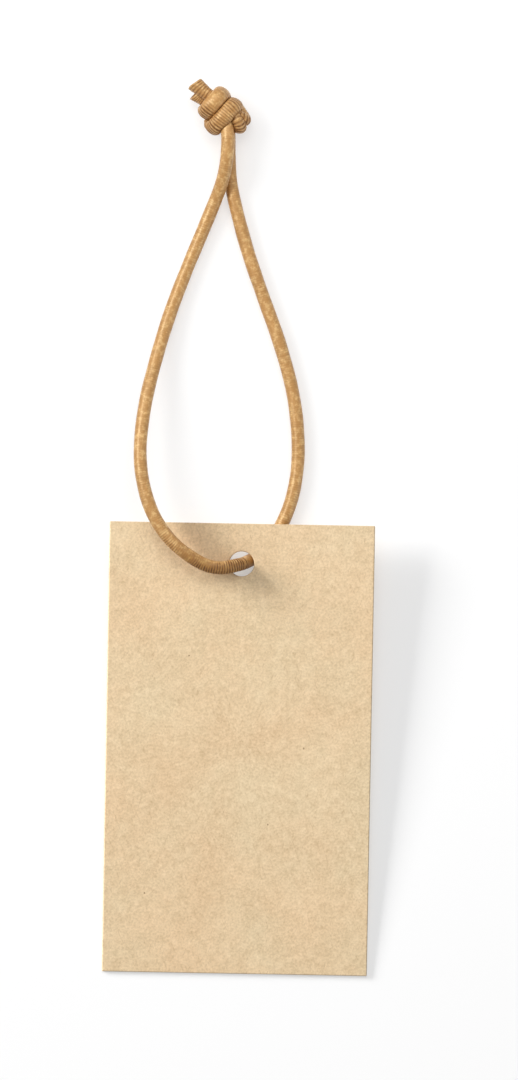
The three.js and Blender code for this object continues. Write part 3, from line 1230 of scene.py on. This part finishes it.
    def _knot_opening(self, round_ring: np.ndarray, outward: np.ndarray) -> np.ndarray:
        """Works out how far the ribs are drawn apart on the knot's wraps and on its tails.

        Args:
            round_ring: The directions from the rings' middles to their points.
            outward: How much longer than the cord's middle it is at each point of each ring.

        Returns:
            A share from 0 to 1 for each point of each ring.
        """
        drawn = self.openings
        from_middle = self.centres - self._loop_point(self.knot_middle)
        along = from_middle @ self.knot_axis
        across = from_middle @ self.knot_side
        wrapped = (np.abs(along) < drawn.knot_half_length) & (np.abs(across) < drawn.knot_half_width)
        side = across[:, None] + round_ring @ self.knot_side * self.sizes.radius
        low_side = smooth_step(-side, *drawn.low_side)
        upper = smooth_step(along, *drawn.upper_wrap)[:, None]
        least = drawn.lower_held + (drawn.upper_held - drawn.lower_held) * upper
        held = least + (drawn.lower_freed + (drawn.upper_freed - drawn.lower_freed) * upper) * low_side
        bent = smooth_step(outward, *drawn.knot_bend)
        away = made_unit(from_middle - along[:, None] * self.knot_axis)
        outer = smooth_step(dots(round_ring, away), *drawn.stretch_facing)
        start, end = self.back_wrap
        rise = smooth_step(self.ring_at, start, start + drawn.stretch_ramp)
        fall = 1 - smooth_step(self.ring_at, end - drawn.stretch_ramp, end)
        stretched = drawn.stretched * (rise * fall)[:, None] * outer
        return np.where(wrapped[:, None], np.maximum(bent * held, stretched), bent * drawn.beside)

    def _ends_shaped(self, offsets: np.ndarray) -> np.ndarray:
        """Flares the cord towards its cut ends and slopes the cuts.

        Args:
            offsets: The surface's points from their rings' middles.

        Returns:
            The offsets, shaped near both ends.
        """
        shaped = offsets.copy()
        for from_cut, slant in (
            (self.ring_at, self.FRONT_SLANT),
            (self.route.length - self.ring_at, self.BACK_SLANT),
        ):
            near = (1 - smooth_step(from_cut, 0.0, self.sizes.flare_length))[:, None]
            shaped *= (1 + self.sizes.flare * near)[..., None]
            drawn_back = slant[0] * (shaped @ self.knot_side) + slant[1] * shaped[..., 2]
            shaped -= (near * drawn_back)[..., None] * self.knot_axis
        return shaped

    def _flattening(self) -> np.ndarray:
        """Works out how far the knot flattens the cord.

        Returns:
            A share from 0 to 1 for each ring.
        """
        ramp = self.sizes.wrap_ramp
        amount = np.zeros(len(self.ring_at))
        for start, end in (self.front_wrap, self.back_wrap):
            rise = smooth_step(self.ring_at, start - ramp / 2, start + ramp)
            fall = 1 - smooth_step(self.ring_at, end - ramp, end + ramp / 2)
            amount = np.maximum(amount, rise * fall)
        return amount

    def surface(self) -> np.ndarray:
        """Works out the cord's surface.

        Returns:
            The points, by ring, by place round the ring, and by axis.
        """
        self._rings()
        angles = np.linspace(0.0, 2 * math.pi, self.sizes.sides, endpoint=False)
        round_ring = (
            np.cos(angles)[None, :, None] * self.ups[:, None, :]
            + np.sin(angles)[None, :, None] * self.sideways[:, None, :]
        )
        self.opening = self._opening(round_ring)
        offsets = self._ribbed(round_ring, angles)
        flattened = self._flattened(offsets)
        return self.centres[:, None, :] + self._ends_shaped(self._pressed(flattened))

    def _ribbed(self, round_ring: np.ndarray, angles: np.ndarray) -> np.ndarray:
        """Gives the cord its ribs, which tilt and wander a little.

        Args:
            round_ring: The directions from the rings' middles to their points.
            angles: The points' angles round a ring.

        Returns:
            The surface's points from their rings' middles.
        """
        sizes = self.sizes
        rib = self.ring_rib
        groove = (sizes.rib_depth + sizes.open_rib_depth * self.opening) * self.ring_depth[:, None]
        turns = self.UNEVEN_TURN * rib[:, None] + self.UNEVEN_TIMES * angles
        uneven = sizes.rib_uneven * self.opening * np.sin(turns)
        plain = sizes.radius * (1 + waves(self.ring_at, self.WOBBLE))
        radius = plain[:, None] - groove + uneven
        tilt_up = waves(rib, self.TILT_UP)[:, None] * np.cos(angles)
        tilt_side = waves(rib, self.TILT_SIDE)[:, None] * np.sin(angles)
        wander = sum(
            height * np.sin(times * angles + turn * rib[:, None] + start)
            for height, times, turn, start in self.WANDER
        )
        shifted = sizes.rib_tilt * (tilt_up + tilt_side) + sizes.rib_wander * self.opening * wander
        return round_ring * radius[..., None] + shifted[..., None] * self.headings[:, None, :]

    def _flattened(self, offsets: np.ndarray) -> np.ndarray:
        """Widens the wraps along the knot's axis and thins them square to it.

        Args:
            offsets: The surface's points from their rings' middles.

        Returns:
            The offsets, flattened where the cord wraps round the knot.
        """
        sizes = self.sizes
        wide = made_unit(self.knot_axis[None, :] - (self.headings @ self.knot_axis)[:, None] * self.headings)
        thin = np.cross(self.headings, wide)
        flat = self._flattening()[:, None]
        widened = flat * (sizes.wrap_width / sizes.diameter - 1) * dots(offsets, wide)
        thinned = flat * (sizes.wrap_thickness / sizes.diameter - 1) * dots(offsets, thin)
        return offsets + widened[..., None] * wide[:, None, :] + thinned[..., None] * thin[:, None, :]

    def _pressed(self, offsets: np.ndarray) -> np.ndarray:
        """Presses strands that meet in the knot against each other, so that neither runs through the other.

        Args:
            offsets: The surface's points from their rings' middles.

        Returns:
            The offsets, drawn in where another strand lies.
        """
        press = self.pressing
        before = self.ring_at < self.loop_start + press.loop_reach
        after = self.ring_at > self.loop_end - press.loop_reach
        in_knot = np.flatnonzero(before | after)
        others = in_knot[::press.ring_step]
        reach = np.linalg.norm(offsets, axis=2)
        half = reach.mean(axis=1)
        pressed = offsets.copy()
        for ring in in_knot:
            far = np.abs(self.ring_at[others] - self.ring_at[ring]) > press.least_run
            close = lengths(self.centres[others] - self.centres[ring]) < press.most_gap
            rivals = others[far & close]
            if len(rivals) == 0:
                continue
            share = np.ones(offsets.shape[1])
            for _ in range(press.tries):
                points = self.centres[ring] + offsets[ring] * share[:, None]
                gaps = np.linalg.norm(points[:, None, :] - self.centres[rivals][None, :, :], axis=2)
                nearest = (gaps / half[rivals][None, :]).min(axis=1)
                own = reach[ring] * share / half[ring]
                inside = nearest < own * press.room
                share = np.where(inside, np.maximum(share * press.shrink, press.least), share)
            pressed[ring] = offsets[ring] * share[:, None]
        return pressed

    def _crest_ring(self, place: float) -> int:
        """Gives the ring on the crest of the rib at a place along the cord."""
        rib_rings = len(self.RING_SHARES)
        return int(np.searchsorted(self.ring_at, place)) // rib_rings * rib_rings + self.CREST_RINGS[1]

    def build(self) -> list[bpy.types.Object]:
        """Models the cord's pieces.

        Returns:
            The loop, the knot's strands and the rubber ends.
        """
        points = self.surface()
        start = self._crest_ring(self.loop_start)
        end = self._crest_ring(self.loop_end)
        first = self.CREST_RINGS[0]
        last = len(points) - len(self.RING_SHARES) + self.CREST_RINGS[1]
        loop = self._tube("cord_loop", points, start, end)
        front = self._tube("knot_front_strand", points, first, start, Cut.FIRST)
        back = self._tube("knot_back_strand", points, end, last, Cut.LAST)
        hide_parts("cord_cover_loop", "cord_core_loop")
        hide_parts("cord_knot")
        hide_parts("cord_knot")
        cover = self.cover.material()
        for piece in (loop, front, back):
            dress(piece, cover, Body.CORD)
        rubber = self.rubber.material()
        ends = [
            self._core_end("rubber_front_end", self.centres[first], -self.headings[first], self.FRONT_SLANT),
            self._core_end("rubber_back_end", self.centres[last], self.headings[last], self.BACK_SLANT),
        ]
        for piece, node in zip(ends, ("cord_core_front_tail", "cord_core_back_tail")):
            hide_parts(node)
            dress(piece, rubber, Body.CORD)
        return [loop, front, back, *ends]

    def _rim(self, cut_ring: np.ndarray, outward: np.ndarray) -> np.ndarray:
        """Folds the cover in over its cut: a thin rim, and the hollow that the rubber lies in.

        Args:
            cut_ring: The tube's last ring of points.
            outward: The direction out of the cut.

        Returns:
            The rim's rings, from the outermost inwards.
        """
        middle = cut_ring.mean(axis=0)
        return np.stack([
            middle + (cut_ring - middle) * share + outward * (depth * MM) for share, depth in self.RIM_STEPS
        ])

    def _core_end(self, name: str, tip: np.ndarray, outward: np.ndarray, slant: tuple) -> bpy.types.Object:
        """Models the rubber in a cut end: a middle strand and those round it, cut a little unevenly.

        Args:
            name: The piece's name.
            tip: The cord's middle at the cut.
            outward: The direction out of the cut.
            slant: How the cut slopes, as the cover's does.

        Returns:
            The rubber.
        """
        core = self.core
        turn = Vector(outward).to_track_quat("Z", "Y")
        steps = np.linspace(0.0, 2 * math.pi, core.ring_strands, endpoint=False)
        places = [(0.0, 0.0)] + [(math.cos(step), math.sin(step)) for step in steps]
        strands = []
        for number, (across, up) in enumerate(places):
            offset = turn @ (Vector((across, up, 0.0)) * core.ring_radius)
            drawn_back = slant[0] * (np.array(offset) @ self.knot_side) + slant[1] * offset.z
            recess = core.recess + core.uneven * math.sin(number * core.uneven_turn) + drawn_back
            deselect_all()
            bpy.ops.mesh.primitive_cylinder_add(
                vertices=core.sides,
                radius=core.radius,
                depth=core.length,
                location=Vector(tip) + offset - Vector(outward) * (recess + core.length / 2),
                rotation=turn.to_euler(),
            )
            strand = bpy.context.object
            bpy.ops.object.transform_apply(location=True, rotation=True, scale=True)
            bevel = strand.modifiers.new("rounded", "BEVEL")
            bevel.width = core.rim_round
            bevel.segments = core.rim_steps
            bpy.ops.object.modifier_apply(modifier=bevel.name)
            strands.append(strand)
        deselect_all()
        for strand in strands:
            strand.select_set(True)
        bpy.context.view_layer.objects.active = strands[0]
        bpy.ops.object.join()
        joined = bpy.context.object
        joined.name = name
        joined.data.name = name
        bpy.ops.object.shade_smooth_by_angle(angle=core.smooth_angle)
        return joined

    def _tube(
        self, name: str, points: np.ndarray, first: int, last: int, cut: Cut = Cut.NONE
    ) -> bpy.types.Object:
        """Makes a closed tube of some of the cord's rings.

        Args:
            name: The piece's name.
            points: The whole cord's surface.
            first: The first ring.
            last: The last ring.
            cut: Which end is a cut end of the cord.

        Returns:
            The tube, with its own map and how far its ribs are drawn apart, which on a cut end's rim stands
            for painted shade.
        """
        rings = points[first:last + 1]
        rib = self.ring_phase[first:last + 1]
        opening = self.opening[first:last + 1]
        folded = np.linspace(*self.RIM_PLACES, len(self.RIM_STEPS))
        # The rim's inside is painted with the gaps' shade, as painted shade in the hollow of the cut
        rim_shade = np.tile(np.linspace(0.0, 1.0, len(folded))[:, None], opening.shape[1])
        if cut is Cut.FIRST:
            rings = np.concatenate([self._rim(rings[0], -self.headings[first])[::-1], rings])
            rib = np.concatenate([math.floor(rib[0]) + folded[::-1], rib])
            opening = np.concatenate([rim_shade[::-1], opening])
        elif cut is Cut.LAST:
            rings = np.concatenate([rings, self._rim(rings[-1], self.headings[last])])
            rib = np.concatenate([rib, math.floor(rib[-1]) + folded])
            opening = np.concatenate([opening, rim_shade])
        count, sides = rings.shape[:2]
        index = np.arange(count * sides).reshape(count, sides)
        here, there = index[:-1], index[1:]
        quads = np.stack([here, np.roll(here, -1, axis=1), np.roll(there, -1, axis=1), there], axis=-1)
        caps = [index[0][::-1].tolist(), index[-1].tolist()]
        mesh = bpy.data.meshes.new(name)
        mesh.from_pydata(rings.reshape(-1, 3).tolist(), [], quads.reshape(-1, 4).tolist() + caps)
        self._map_yarn(mesh, rib, opening)
        piece = bpy.data.objects.new(name, mesh)
        bpy.context.scene.collection.objects.link(piece)
        select_only(piece)
        bpy.ops.object.shade_smooth()
        for cap in mesh.polygons[-len(caps):]:
            cap.use_smooth = False
        return piece

    def _map_yarn(self, mesh: bpy.types.Mesh, rib: np.ndarray, opening: np.ndarray) -> None:
        """Gives a tube's mesh its own map, and how far its ribs are drawn apart.

        Args:
            mesh: The mesh: a face for each step round and along the tube, then the two caps.
            rib: Each ring's place along the cord, by one a rib.
            opening: How far the ribs are drawn apart at each point of each ring, and on a cut end's rim the
                painted shade.
        """
        sides = opening.shape[1]
        step = 1 / sides
        around = np.tile(np.arange(sides), (len(rib) - 1, 1)) / sides
        low = np.repeat(rib[:-1, None], sides, axis=1)
        high = np.repeat(rib[1:, None], sides, axis=1)
        corners = ((around, low), (around + step, low), (around + step, high), (around, high))
        places = np.stack([np.stack(corner, axis=-1) for corner in corners], axis=2).reshape(-1, 2)
        capped = np.vstack([places, np.full((sides, 2), rib[0]), np.full((sides, 2), rib[-1])])
        layer = mesh.uv_layers.new(name=YARN_MAP)
        layer.data.foreach_set("uv", capped.astype(np.float32).ravel())
        drawn = mesh.attributes.new(OPENING, "FLOAT", "POINT")
        drawn.data.foreach_set("value", opening.astype(np.float32).ravel())
        mesh.update()


@dataclass(frozen=True)
class Lamp:
    """A soft area light aimed at the tag.

    Its level is the share of white that it lends a white surface lying flat.
    """

    name: str
    elevation: float
    azimuth: float
    distance: float
    size: tuple
    level: float

    AIM = (0.0, 25 * MM, 0.0)

    def build(self) -> bpy.types.Object:
        """Makes the light.

        Returns:
            The light's object.
        """
        rise = math.radians(self.elevation)
        turn = math.radians(self.azimuth)
        towards = Vector((math.cos(rise) * math.cos(turn), math.cos(rise) * math.sin(turn), math.sin(rise)))
        lamp = bpy.data.lights.new(self.name, "AREA")
        lamp.shape = "RECTANGLE"
        lamp.size, lamp.size_y = self.size
        lamp.energy = self.level * (math.pi * self.distance) ** 2 / math.sin(rise)
        holder = bpy.data.objects.new(self.name, lamp)
        bpy.context.scene.collection.objects.link(holder)
        holder.location = Vector(self.AIM) + towards * self.distance
        across = Vector((0.0, 0.0, 1.0)).cross(towards).normalized()
        holder.rotation_euler = Matrix((across, towards.cross(across), towards)).transposed().to_euler()
        return holder


@dataclass
class Studio:
    """The camera straight above the tag, the lights and the table."""

    view_middle: tuple = (3.17 * MM, 39.45 * MM)
    view_height: float = 203.8 * MM
    view_roll_degrees: float = 1.06
    lens: float = 400.0
    sensor: float = 36.0
    far_limit: float = 20.0
    table_side: float = 6.0
    key: Lamp = Lamp("key", elevation=15.0, azimuth=156.0, distance=3.0, size=(1.5, 0.6), level=0.45)
    table_key: Lamp = Lamp(
        "table_key", elevation=15.0, azimuth=156.0, distance=3.0, size=(1.5, 0.6), level=0.45
    )
    table_soft: Lamp = Lamp(
        "table_soft", elevation=36.0, azimuth=154.0, distance=3.0, size=(2.0, 1.3), level=0.32
    )
    fill: Lamp = Lamp("fill", elevation=50.0, azimuth=88.0, distance=0.5, size=(0.4, 0.25), level=0.25)
    cord_key: Lamp = Lamp(
        "cord_key", elevation=43.0, azimuth=156.0, distance=3.0, size=(1.5, 1.0), level=0.45
    )
    cord_edge: Lamp = Lamp(
        "cord_edge", elevation=20.0, azimuth=-20.0, distance=1.5, size=(0.8, 0.4), level=0.06
    )
    sky_level: float = 0.32

    def build(self) -> bpy.types.Object:
        """Makes the table, the lights and the camera.

        Returns:
            The table.
        """
        table = self._table()
        for lamp in (self.key, self.table_key, self.table_soft, self.fill, self.cord_key, self.cord_edge):
            lamp.build()
        self._sky()
        self._camera()
        return table

    def share_lamps(
        self, table: bpy.types.Object, cord: list[bpy.types.Object], card: bpy.types.Object
    ) -> None:
        """Gives the card, the table and the cord key lights of their own.

        The cord has a higher one and a weak one at its far edge. On the table the card's shadow is that of
        the low key light, and the cord's is that of a higher and softer one.

        Args:
            table: The table.
            cord: The cord's pieces.
            card: The card.
        """
        everything = [card, *cord]
        for lamp, lit, shading in (
            (self.key, [card], everything),
            (self.table_key, [table], [card]),
            (self.table_soft, [table], cord),
            (self.cord_key, cord, everything),
            (self.cord_edge, cord, everything),
        ):
            linking = bpy.data.objects[lamp.name].light_linking
            linking.receiver_collection = self._group("lit_by_" + lamp.name, lit)
            linking.blocker_collection = self._group("shading_" + lamp.name, shading)

    def _group(self, name: str, pieces: list[bpy.types.Object]) -> bpy.types.Collection:
        """Puts pieces in a collection that only a lamp uses.

        Args:
            name: The collection's name.
            pieces: The pieces.

        Returns:
            The collection.
        """
        group = bpy.data.collections.new(name)
        for piece in pieces:
            group.objects.link(piece)
        return group

    def _table(self) -> bpy.types.Object:
        """Makes the table that the tag lies on.

        Returns:
            The table.
        """
        deselect_all()
        bpy.ops.mesh.primitive_plane_add(size=self.table_side, location=(0.0, 0.0, 0.0))
        table = bpy.context.object
        table.name = "table"
        table.data.materials.append(PaleTable().material())
        return table

    def _sky(self) -> None:
        """Lights everything evenly, and is white where it is seen."""
        world = bpy.data.worlds.new("sky")
        world.use_nodes = True
        sky = Shader("sky", world)
        pale = (1.0, 1.0, 1.0)
        even = sky.node("Background", {}, {"Color": pale, "Strength": self.sky_level}).outputs[0]
        white = sky.node("Background", {}, {"Color": pale, "Strength": 1.0}).outputs[0]
        mixed = sky.node("MixShader", {}, {0: sky.looked_at(), 1: even, 2: white}).outputs[0]
        sky.node("OutputWorld", {}, {"Surface": mixed})
        bpy.context.scene.world = world

    def _camera(self) -> None:
        """Looks straight down, turned so that the card leans as it is photographed."""
        camera = bpy.data.cameras.new("camera")
        camera.lens = self.lens
        camera.sensor_width = self.sensor
        camera.sensor_fit = "AUTO"
        camera.clip_end = self.far_limit
        holder = bpy.data.objects.new("camera", camera)
        bpy.context.scene.collection.objects.link(holder)
        holder.location = (*self.view_middle, self.view_height * self.lens / self.sensor)
        holder.rotation_euler = (0.0, 0.0, math.radians(self.view_roll_degrees))
        bpy.context.scene.camera = holder
        bpy.context.scene.view_settings.view_transform = "Standard"


def main() -> None:
    """Builds the table, the lights and the camera, then the cord and the card."""
    logging.basicConfig(level=logging.INFO, format="%(message)s")
    studio = Studio()
    table = studio.build()
    cord = Cord().build()
    card = Card().build()
    studio.share_lamps(table, cord, card)


if __name__ == "__main__":
    main()
